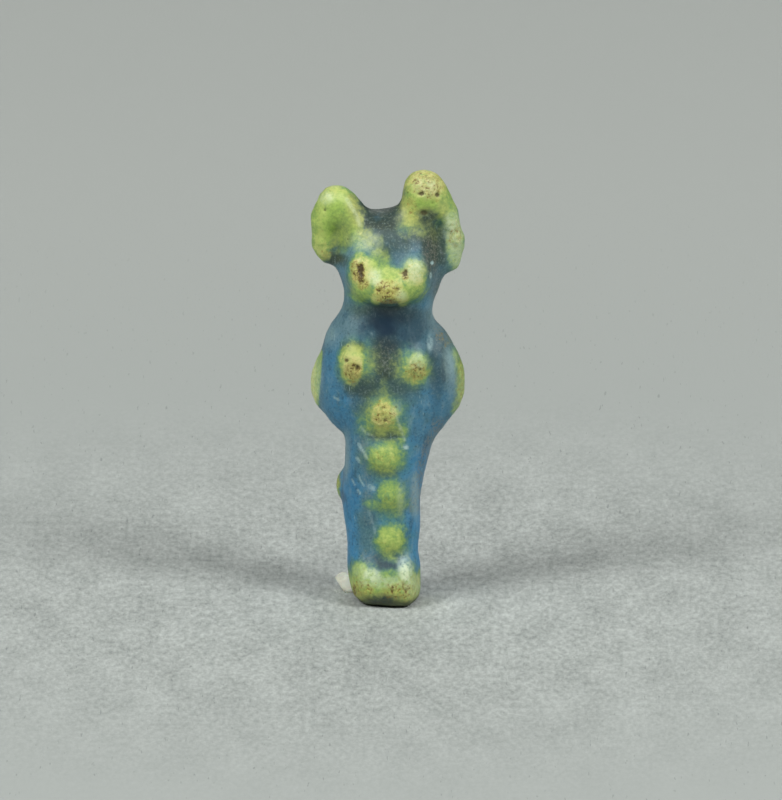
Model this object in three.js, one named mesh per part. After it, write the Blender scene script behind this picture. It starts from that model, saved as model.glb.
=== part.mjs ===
// A small jackal-headed amulet of glazed composition, standing on its foot, with the chip of
// mounting wax that props it from behind.
// Units are millimetres. +Z is up, the figure faces -Y, and the origin is on the flat underside.
import * as THREE from "three";

// Driving dimensions of the figure
const HEIGHT = 22; // underside to the tip of the taller ear
const WIDTH = 7.7; // elbow to elbow
const DEPTH = 4; // front to back through the chest

// Fineness of the faceted surfaces
const FIGURE_STEP = 0.34;
const WAX_STEP = 0.17;
const RELAXING_STEPS = 6;

// How points find a surface: how many moves they make, the longest move as a share of the grid
// step, the span over which the slope is measured, the least slope that is trusted, and what
// counts as arrived
const MOVES = 4;
const LONGEST_MOVE = 0.25;
const SLOPE_SPAN = 1e-3;
const LEAST_SLOPE = 0.2;
const ARRIVED = 1e-3;
const SEAT_MOVES = 200;
const SEAT_MOVE = 0.5; // share of the gap that a boss's seat closes at each move

// How softly the parts of the figure run into each other
const BODY_BLEND = 0.9;
const ARM_BLEND = 0.7;
const EAR_BLEND = 0.75;
const RIM_BLEND = 0.5;
const HOLLOW_BLEND = 0.45;
const MUZZLE_BLEND = 0.85;
const PILLAR_BLEND = 0.6;
const BOSS_BLEND = 0.4;
const HOLE_BLEND = 0.2;

const up = (share) => share * HEIGHT;
const across = (share) => share * WIDTH;
const deep = (share) => share * DEPTH;

// The column of the body: where its centre is and its half width and half depth at each level
const COLUMN = [
  { name: "sole", level: 0, x: 0.017, y: 0.08, halfWidth: 0.196, halfDepth: 0.375 },
  { name: "ankle", level: 0.095, x: -0.016, y: 0, halfWidth: 0.217, halfDepth: 0.39 },
  { name: "calf", level: 0.16, x: -0.013, y: 0, halfWidth: 0.239, halfDepth: 0.41 },
  { name: "knee", level: 0.23, x: -0.025, y: 0, halfWidth: 0.25, halfDepth: 0.43 },
  { name: "hip", level: 0.345, x: 0.015, y: 0, halfWidth: 0.272, halfDepth: 0.45 },
  { name: "waist", level: 0.4, x: 0.038, y: 0, halfWidth: 0.298, halfDepth: 0.44 },
  { name: "ribs", level: 0.47, x: 0.03, y: 0, halfWidth: 0.345, halfDepth: 0.46 },
  { name: "chest", level: 0.57, x: 0.012, y: 0, halfWidth: 0.34, halfDepth: 0.49 },
  { name: "shoulder", level: 0.635, x: -0.008, y: 0, halfWidth: 0.325, halfDepth: 0.45 },
  { name: "neck", level: 0.69, x: 0.018, y: 0, halfWidth: 0.289, halfDepth: 0.4 },
  { name: "throat", level: 0.73, x: 0.045, y: 0.02, halfWidth: 0.298, halfDepth: 0.4 },
  { name: "nape", level: 0.79, x: 0.045, y: 0.03, halfWidth: 0.3, halfDepth: 0.42 },
];
const SECTION_POWER = 2.3; // 2 is an ellipse, and more is squarer
const SOLE_BLEND = 0.5;

// The underside is flat between four corners, which the figure rests on, and worn a little
// higher from there out to its rim
const RESTING_CORNERS = [[-1, -1.1], [1.2, -1.4], [1.45, 1.15], [-1.05, 1.1]];
const RIM_SLOPE = 0.25;

// The two feet, side by side, which read as one low block with a dip between the insteps
const FEET = [
  { side: "left", centre: [-0.086, -0.08, 0.0565], half: [0.114, 0.45, 0.0505], round: 0.9 },
  { side: "right", centre: [0.09, -0.08, 0.0525], half: [0.104, 0.47, 0.0565], round: 0.8 },
];
const HEAD = { centre: [0.028, -0.01, 0.806], radii: [0.325, 0.49, 0.105] };

// The short muzzle, whose broad front face runs from cheek to cheek. Each rod has its two ends,
// then the radius at each end.
const MUZZLE = [
  { name: "snout", ends: [[0.012, -0.15, 0.785], [0.032, -0.56, 0.749]], radii: [1.05, 0.84] },
  { name: "left cheek", ends: [[-0.14, -0.36, 0.775], [-0.118, -0.43, 0.757]], radii: [0.7, 0.7] },
  { name: "right cheek", ends: [[0.19, -0.34, 0.775], [0.172, -0.42, 0.76]], radii: [0.7, 0.7] },
];
const ARMS = [
  { side: "left", centre: [-0.287, 0.03, 0.52], radii: [0.14, 0.36, 0.118] },
  { side: "right", centre: [0.325, 0.03, 0.518], radii: [0.145, 0.36, 0.118] },
];

// Each ear is a rim that runs from the forehead over the tip and down outside to a lobe, with
// a web behind it and a hollow scooped out below the tip. A rim point has its three shares, then its radius.
const EARS = [
  {
    side: "left",
    rim: [
      [-0.135, -0.14, 0.84, 0.35],
      [-0.225, -0.1, 0.903, 0.46],
      [-0.328, -0.06, 0.934, 0.6],
      [-0.387, -0.03, 0.89, 0.56],
      [-0.393, 0.01, 0.832, 0.5],
      [-0.376, 0.03, 0.806, 0.46],
    ],
    web: { centre: [-0.285, -0.02, 0.882], radii: [0.17, 0.18, 0.08] },
    hollow: { centre: [-0.318, -0.32, 0.822], radii: [0.066, 0.29, 0.066] },
  },
  {
    side: "right",
    rim: [
      [0.1, -0.14, 0.843, 0.36],
      [0.17, -0.1, 0.905, 0.52],
      [0.252, -0.06, 0.9565, 0.94],
      [0.368, -0.02, 0.896, 0.62],
      [0.43, 0.02, 0.835, 0.56],
      [0.43, 0.03, 0.79, 0.5],
    ],
    web: { centre: [0.285, -0.03, 0.885], radii: [0.18, 0.21, 0.088] },
    hollow: { centre: [0.346, -0.33, 0.838], radii: [0.08, 0.29, 0.064] },
  },
];

const BACK_PILLAR = {
  low: [0.01, 0.33, 0.05],
  high: [0.03, 0.33, 0.79],
  halfWidth: 0.125,
  halfDepth: 0.25,
  round: 0.7,
};
const CORD_HOLE = { level: 0.7, y: 0.41, radius: 0.42 };

// Raised bosses, each seated on the face of the body that it shows on.
// place is how far across that face and how far up it is, and size is its two radii there.
const BOSSES = [
  { name: "left eye", face: "front", place: [-1.17, 17.42], size: [0.68, 0.86], proud: 0.62 },
  { name: "right eye", face: "front", place: [1.38, 17.35], size: [0.76, 0.84], proud: 0.58 },
  { name: "left breast", face: "front", place: [-1.5, 12.7], size: [0.8, 0.9], proud: 0.32 },
  { name: "right breast", face: "front", place: [1.47, 12.55], size: [0.82, 0.82], proud: 0.3 },
  { name: "navel", face: "front", place: [-0.03, 10.05], size: [0.84, 0.86], proud: 0.34 },
  { name: "loins", face: "front", place: [-0.12, 7.8], size: [0.88, 0.86], proud: 0.28 },
  { name: "thigh", face: "front", place: [0.19, 5.75], size: [0.84, 0.78], proud: 0.22 },
  { name: "shin", face: "front", place: [0.24, 3.55], size: [0.8, 0.84], proud: 0.3 },
  { name: "left elbow", face: "left", place: [0.55, 11.0], size: [0.85, 1.5], proud: 0.46 },
  { name: "right elbow", face: "right", place: [0.1, 11.2], size: [0.9, 1.65], proud: 0.36 },
  { name: "left hip", face: "left", place: [0.75, 5.7], size: [0.7, 0.9], proud: 0.5 },
  { name: "right hip", face: "back", place: [1.15, 5.7], size: [0.7, 0.9], proud: 0.3 },
];
const BOSS_BODY = 0.8; // radius of a boss into the body
const BOSS_FACES = {
  front: { from: [0, -1, 0], seat: 0 },
  back: { from: [0, 1, 0], seat: 0 },
  left: { from: [-1, 0, 0], seat: 1 },
  right: { from: [1, 0, 0], seat: 1 },
};

// The chip of wax leans outward from the heel. Each face has the way it looks and how far it is
// from the chip's centre.
const WAX = {
  centre: [-1.95, 1.45, 0.45],
  faces: [
    { looks: [-0.9, -0.15, -0.55], away: 0.34 },
    { looks: [-0.75, 0.2, 0.75], away: 0.56 },
    { looks: [-0.12, -0.2, 1], away: 0.38 },
    { looks: [0.5, 0.3, 1], away: 0.46 },
    { looks: [0.05, -1, 0.3], away: 0.4 },
    { looks: [-0.5, -1, -0.35], away: 0.48 },
    { looks: [-0.25, 1, 0.1], away: 0.62 },
    { looks: [1, 0.2, 0], away: 0.95 },
    { looks: [0, 0, -1], away: 0.45 }, // the ground
  ],
  round: 0.08,
  clearance: 0.06,
};

// The room that each surface is looked for in: shares of width, depth and height for the figure,
// and a distance each way from the middle of the wax
const FIGURE_ROOM = { low: [-0.6, -1.25, -0.045], high: [0.62, 0.95, 1.045] };
const WAX_ROOM = 1.6;

// The part's materials
const GLAZE = new THREE.MeshStandardMaterial({
  color: 0x3f7488,
  roughness: 0.35,
  metalness: 0,
});
const PUTTY = new THREE.MeshStandardMaterial({
  color: 0xcac6ae,
  roughness: 0.8,
  metalness: 0,
});

// Distance fields: each returns about how far a point is outside its form, negative inside

const place = ([x, y, z]) => [across(x), deep(y), up(z)];

function softMin(a, b, blend) {
  const h = Math.max(blend - Math.abs(a - b), 0) / blend;
  return Math.min(a, b) - (h * h * blend) / 4;
}

const softMax = (a, b, blend) => -softMin(-a, -b, blend);

function ellipsoid(p, centre, radii) {
  const q = p.map((v, i) => (v - centre[i]) / radii[i]);
  const k0 = Math.hypot(...q);
  const k1 = Math.hypot(...q.map((v, i) => v / radii[i]));
  return k1 === 0 ? -Math.min(...radii) : (k0 * (k0 - 1)) / k1;
}

function roundedBox(p, centre, half, round) {
  const q = p.map((v, i) => Math.abs(v - centre[i]) - half[i] + round);
  const outside = Math.hypot(...q.map((v) => Math.max(v, 0)));
  return outside + Math.min(Math.max(...q), 0) - round;
}

// A rod from a to b whose radius runs from ra to rb
function taperedRod(p, a, b, ra, rb) {
  const along = b.map((v, i) => v - a[i]);
  const reach = p.map((v, i) => v - a[i]);
  const lengthSquared = along.reduce((sum, v) => sum + v * v, 0);
  const dot = reach.reduce((sum, v, i) => sum + v * along[i], 0);
  const t = Math.min(Math.max(dot / lengthSquared, 0), 1);
  return Math.hypot(...reach.map((v, i) => v - t * along[i])) - (ra + (rb - ra) * t);
}

const columnAt = new THREE.CubicInterpolant(
  COLUMN.map((s) => up(s.level)),
  COLUMN.flatMap((s) => [across(s.x), deep(s.y), across(s.halfWidth), deep(s.halfDepth)]),
  4,
);
const COLUMN_BOTTOM = up(COLUMN[0].level);
const COLUMN_TOP = up(COLUMN.at(-1).level);

function column(p) {
  const z = Math.min(Math.max(p[2], COLUMN_BOTTOM), COLUMN_TOP);
  const [x, y, halfWidth, halfDepth] = columnAt.evaluate(z);
  const size = Math.min(halfWidth, halfDepth);
  const away =
    Math.abs((p[0] - x) / halfWidth) ** SECTION_POWER +
    Math.abs((p[1] - y) / halfDepth) ** SECTION_POWER;
  const side = (away ** (1 / SECTION_POWER) - 1) * size;
  return softMax(side, Math.max(p[2] - COLUMN_TOP, COLUMN_BOTTOM - p[2]), SOLE_BLEND);
}

function ear(p, { rim, web, hollow }) {
  let d = ellipsoid(p, place(web.centre), place(web.radii));
  for (let i = 1; i < rim.length; i += 1) {
    const [a, b] = [rim[i - 1], rim[i]];
    d = softMin(d, taperedRod(p, place(a), place(b), a[3], b[3]), RIM_BLEND);
  }
  return softMax(d, -ellipsoid(p, place(hollow.centre), place(hollow.radii)), HOLLOW_BLEND);
}

function backPillar(p) {
  const low = place(BACK_PILLAR.low);
  const high = place(BACK_PILLAR.high);
  const centre = low.map((v, i) => (v + high[i]) / 2);
  const half = [
    across(BACK_PILLAR.halfWidth),
    deep(BACK_PILLAR.halfDepth),
    (high[2] - low[2]) / 2,
  ];
  return roundedBox(p, centre, half, BACK_PILLAR.round);
}

const cordHole = (p) =>
  Math.hypot(p[1] - deep(CORD_HOLE.y), p[2] - up(CORD_HOLE.level)) - CORD_HOLE.radius;

// The figure without its muzzle and bosses
function body(p) {
  let d = column(p);
  d = softMin(d, ellipsoid(p, place(HEAD.centre), place(HEAD.radii)), BODY_BLEND);
  for (const arm of ARMS)
    d = softMin(d, ellipsoid(p, place(arm.centre), place(arm.radii)), ARM_BLEND);
  for (const one of EARS) d = softMin(d, ear(p, one), EAR_BLEND);
  for (const foot of FEET)
    d = softMin(d, roundedBox(p, place(foot.centre), place(foot.half), foot.round), BODY_BLEND);
  return softMin(d, backPillar(p), PILLAR_BLEND);
}

// Walks in from outside along a face's direction to the body's surface
function seatOf({ face, place: [sideways, level] }) {
  const { from, seat } = BOSS_FACES[face];
  const p = from.map((v) => v * WIDTH);
  p[2] = level;
  p[seat] = sideways;
  for (let i = 0; i < SEAT_MOVES; i += 1) {
    const gap = body(p);
    if (gap < ARRIVED) break;
    for (let k = 0; k < 2; k += 1) p[k] -= from[k] * gap * SEAT_MOVE;
  }
  return p;
}

const seats = BOSSES.map((boss) => {
  const { from, seat } = BOSS_FACES[boss.face];
  const depth = BOSS_BODY - boss.proud;
  const radii = [BOSS_BODY, BOSS_BODY, boss.size[1]];
  radii[seat] = boss.size[0];
  return { centre: seatOf(boss).map((v, i) => v - from[i] * depth), radii };
});

function figure(p) {
  let d = body(p);
  for (const { ends, radii } of MUZZLE)
    d = softMin(d, taperedRod(p, ...ends.map(place), ...radii), MUZZLE_BLEND);
  for (const { centre, radii } of seats) d = softMin(d, ellipsoid(p, centre, radii), BOSS_BLEND);
  return softMax(d, -cordHole(p), HOLE_BLEND);
}

// A chip with blunt faces, pressed against the figure's heel
function wax(p) {
  let chip = -Infinity;
  for (const { looks, away } of WAX.faces) {
    const along = looks.reduce((sum, v, i) => sum + v * (p[i] - WAX.centre[i]), 0);
    const face = along / Math.hypot(...looks) - away;
    chip = chip === -Infinity ? face : softMax(chip, face, WAX.round);
  }
  return Math.max(chip, WAX.clearance - figure(p));
}

// A grid cell's eight corners, its twelve edges by the corner and axis they start along, and the
// edges of each of its six faces
const CORNERS = [0, 1, 2, 3, 4, 5, 6, 7].map((n) => [n & 1, (n >> 1) & 1, (n >> 2) & 1]);
const EDGES = CORNERS.flatMap((corner, from) =>
  [0, 1, 2]
    .filter((axis) => corner[axis] === 0)
    .map((axis) => ({ from, to: from + (1 << axis), axis })),
);
const FACES = [0, 1, 2].flatMap((axis) =>
  [0, 1].map((side) =>
    EDGES.filter(({ from, to }) => CORNERS[from][axis] === side && CORNERS[to][axis] === side),
  ),
);
const edgeKey = (cell, from, axis) => (cell * 8 + from) * 3 + axis;

// Sorts the edges of a cell that the surface crosses into the separate sheets that cross it
function sheetsOf(inside) {
  let sheets = EDGES.filter(({ from, to }) => inside[from] !== inside[to]).map((edge) => [edge]);
  const join = (a, b) => {
    const [first, second] = [a, b].map((edge) => sheets.find((sheet) => sheet.includes(edge)));
    if (first === second) return;
    sheets = sheets.filter((sheet) => sheet !== second);
    first.push(...second);
  };
  for (const face of FACES) {
    const crossed = face.filter(({ from, to }) => inside[from] !== inside[to]);
    if (crossed.length === 2) join(...crossed);
    if (crossed.length === 4)
      for (const corner of new Set(face.flatMap(({ from, to }) => [from, to])))
        if (inside[corner]) join(...face.filter(({ from, to }) => [from, to].includes(corner)));
  }
  return sheets;
}

// The closed surface of a field, from one point for each sheet in each grid cell and one
// quadrilateral round each grid edge that the surface crosses
function surfaceOf(field, low, high, step) {
  const count = low.map((v, i) => Math.ceil((high[i] - v) / step) + 1);
  const stride = [1, count[0], count[0] * count[1]];
  const indexOf = (c) => c[0] + c[1] * stride[1] + c[2] * stride[2];
  const pointAt = (c) => c.map((v, i) => low[i] + v * step);
  const values = new Float32Array(count[0] * count[1] * count[2]);
  const each = (visit) => {
    for (let k = 0; k < count[2]; k += 1)
      for (let j = 0; j < count[1]; j += 1)
        for (let i = 0; i < count[0]; i += 1) visit([i, j, k]);
  };
  each((c) => {
    values[indexOf(c)] = field(pointAt(c));
  });

  const points = [];
  const pointOf = new Map();
  each((c) => {
    if (c.some((v, i) => v + 1 >= count[i])) return;
    const cell = indexOf(c);
    const corners = CORNERS.map((corner) => corner.map((v, i) => v + c[i]));
    const value = corners.map((corner) => values[indexOf(corner)]);
    for (const sheet of sheetsOf(value.map((v) => v < 0))) {
      const crossings = sheet.map(({ from, to, axis }) => {
        const p = pointAt(corners[from]);
        p[axis] += (step * value[from]) / (value[from] - value[to]);
        return p;
      });
      for (const { from, axis } of sheet) pointOf.set(edgeKey(cell, from, axis), points.length);
      points.push(ontoSurface(field, middleOf(crossings), step));
    }
  });

  const quads = [];
  each((c) => {
    for (let axis = 0; axis < 3; axis += 1) {
      const [u, v] = [(axis + 1) % 3, (axis + 2) % 3];
      if (c[axis] + 1 >= count[axis] || c[u] === 0 || c[v] === 0) continue;
      const here = indexOf(c);
      const inside = values[here] < 0;
      if (inside === values[here + stride[axis]] < 0) continue;
      const ring = [[0, 0], [1, 0], [1, 1], [0, 1]].map(([du, dv]) => {
        const cell = here - du * stride[u] - dv * stride[v];
        return pointOf.get(edgeKey(cell, (du << u) | (dv << v), axis));
      });
      quads.push(inside ? ring : ring.reverse());
    }
  });
  const relaxed = relax(field, points, quads, step);
  const geometry = new THREE.BufferGeometry();
  geometry.setAttribute("position", new THREE.Float32BufferAttribute(relaxed.flat(), 3));
  geometry.setIndex(quads.flatMap((quad) => halvesOf(quad, relaxed)));
  return geometry;
}

const middleOf = (points) =>
  [0, 1, 2].map((i) => points.reduce((sum, p) => sum + p[i], 0) / points.length);

// Evens out the points along the surface, each towards the middle of its neighbours
function relax(field, positions, quads, step) {
  const neighbours = positions.map(() => new Set());
  for (const quad of quads)
    quad.forEach((a, i) => {
      neighbours[a].add(quad[(i + 1) % 4]);
      neighbours[a].add(quad[(i + 3) % 4]);
    });
  let points = positions;
  for (let n = 0; n < RELAXING_STEPS; n += 1) {
    const before = points;
    points = before.map((p, a) => {
      const middle = middleOf([...neighbours[a]].map((b) => before[b]));
      return ontoSurface(field, middleOf([p, middle]), step);
    });
  }
  return points;
}

// The two triangles of a quadrilateral, cut along its shorter diagonal
function halvesOf([a, b, c, d], points) {
  const apart = (m, n) => Math.hypot(...points[m].map((v, i) => v - points[n][i]));
  return apart(a, c) < apart(b, d) ? [a, b, c, a, c, d] : [a, b, d, b, c, d];
}

// Moves a point along the field's slope to where the field is zero, by short moves
function ontoSurface(field, start, step) {
  const longest = step * LONGEST_MOVE;
  let p = start;
  for (let n = 0; n < MOVES; n += 1) {
    const slope = [0, 1, 2].map((i) => {
      const ahead = p.map((v, k) => (k === i ? v + SLOPE_SPAN : v));
      const behind = p.map((v, k) => (k === i ? v - SLOPE_SPAN : v));
      return (field(ahead) - field(behind)) / (2 * SLOPE_SPAN);
    });
    const steep = Math.max(Math.hypot(...slope), LEAST_SLOPE);
    const move = Math.min(Math.max(field(p) / steep, -longest), longest);
    p = p.map((v, i) => v - (move * slope[i]) / steep);
  }
  return p;
}

// Whatever reaches below the standing plane is worn off, down to a floor that can rise from it
function wornOff(geometry, floorAt) {
  const position = geometry.getAttribute("position");
  for (let i = 0; i < position.count; i += 1) {
    const floor = floorAt(position.getX(i), position.getY(i));
    position.setZ(i, Math.max(position.getZ(i), floor));
  }
  return position;
}

// How far a place is outside the resting corners, seen from above
function beyondCorners(x, y) {
  const beyond = RESTING_CORNERS.map(([ax, ay], i) => {
    const [bx, by] = RESTING_CORNERS[(i + 1) % RESTING_CORNERS.length];
    return ((x - ax) * (by - ay) - (y - ay) * (bx - ax)) / Math.hypot(bx - ax, by - ay);
  });
  return Math.max(...beyond, 0);
}

// The point of the underside that is nearest to each resting corner moves there
function setCorners(position) {
  for (const [x, y] of RESTING_CORNERS) {
    const away = (i) => Math.hypot(position.getX(i) - x, position.getY(i) - y, position.getZ(i));
    let nearest = 0;
    for (let i = 1; i < position.count; i += 1) if (away(i) < away(nearest)) nearest = i;
    position.setXYZ(nearest, x, y, 0);
  }
}

function makeFigure() {
  const low = place(FIGURE_ROOM.low);
  const high = place(FIGURE_ROOM.high);
  const geometry = surfaceOf(figure, low, high, FIGURE_STEP);
  setCorners(wornOff(geometry, (x, y) => RIM_SLOPE * beyondCorners(x, y)));
  geometry.computeVertexNormals();
  const mesh = new THREE.Mesh(geometry, GLAZE);
  mesh.name = "anubis_figure";
  return mesh;
}

function makeWax() {
  const low = WAX.centre.map((v) => v - WAX_ROOM);
  const high = WAX.centre.map((v) => v + WAX_ROOM);
  const geometry = surfaceOf(wax, low, high, WAX_STEP);
  wornOff(geometry, () => 0);
  geometry.computeVertexNormals();
  const mesh = new THREE.Mesh(geometry, PUTTY);
  mesh.name = "mounting_wax";
  return mesh;
}

const amulet = new THREE.Group();
amulet.add(makeFigure(), makeWax());

export default amulet;
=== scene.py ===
"""The look of a small jackal-headed amulet: blue glaze with yellow-green knobs, worn and pitted."""
import math

import bmesh
import bpy
import numpy as np
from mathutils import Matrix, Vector, noise

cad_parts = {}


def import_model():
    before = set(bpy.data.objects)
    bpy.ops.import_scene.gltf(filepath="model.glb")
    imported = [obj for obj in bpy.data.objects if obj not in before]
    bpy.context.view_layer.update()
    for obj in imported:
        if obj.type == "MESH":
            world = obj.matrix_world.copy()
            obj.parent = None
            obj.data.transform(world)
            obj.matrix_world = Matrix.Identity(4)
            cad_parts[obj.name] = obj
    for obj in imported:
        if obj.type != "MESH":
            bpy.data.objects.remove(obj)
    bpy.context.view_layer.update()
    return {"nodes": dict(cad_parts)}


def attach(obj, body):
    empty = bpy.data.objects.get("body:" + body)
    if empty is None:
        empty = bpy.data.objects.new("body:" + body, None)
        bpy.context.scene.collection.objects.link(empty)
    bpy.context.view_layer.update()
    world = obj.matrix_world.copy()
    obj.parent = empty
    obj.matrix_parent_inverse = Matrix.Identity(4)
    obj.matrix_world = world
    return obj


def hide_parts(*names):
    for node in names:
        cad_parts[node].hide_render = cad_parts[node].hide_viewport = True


MM = 0.001  # the scene is in metres, and the sizes below are in millimetres

# The camera: a long lens, a little above level, at the photograph's scale
ELEVATION = math.radians(15)
DISTANCE = 1500
PIXELS_PER_MM = 20.1
FRAME_LONG_SIDE = 800
FRAME_MIDDLE = (391, 400)
ORIGIN_PIXEL = (385, 598.6)
SENSOR_WIDTH = 36
UP = np.array([0, math.sin(ELEVATION), math.cos(ELEVATION)])
BACK = np.array([0, -math.cos(ELEVATION), math.sin(ELEVATION)])

FLOOR_RADIUS = 900

# How much light the room gives, and how bright it looks above the floor's edge
HAIR_TURNS = (0.3, 1.9, -0.7)  # how the hairs on the card are turned, in radians
ROOM_LIGHT = 0.06
ROOM_SHADE = 0.42

# How the figure's mesh is refined
LEVELS = 2
SMOOTHING_PASSES = 3
UNDERSIDE = 0.05  # what lies below this height stays flat

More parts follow.
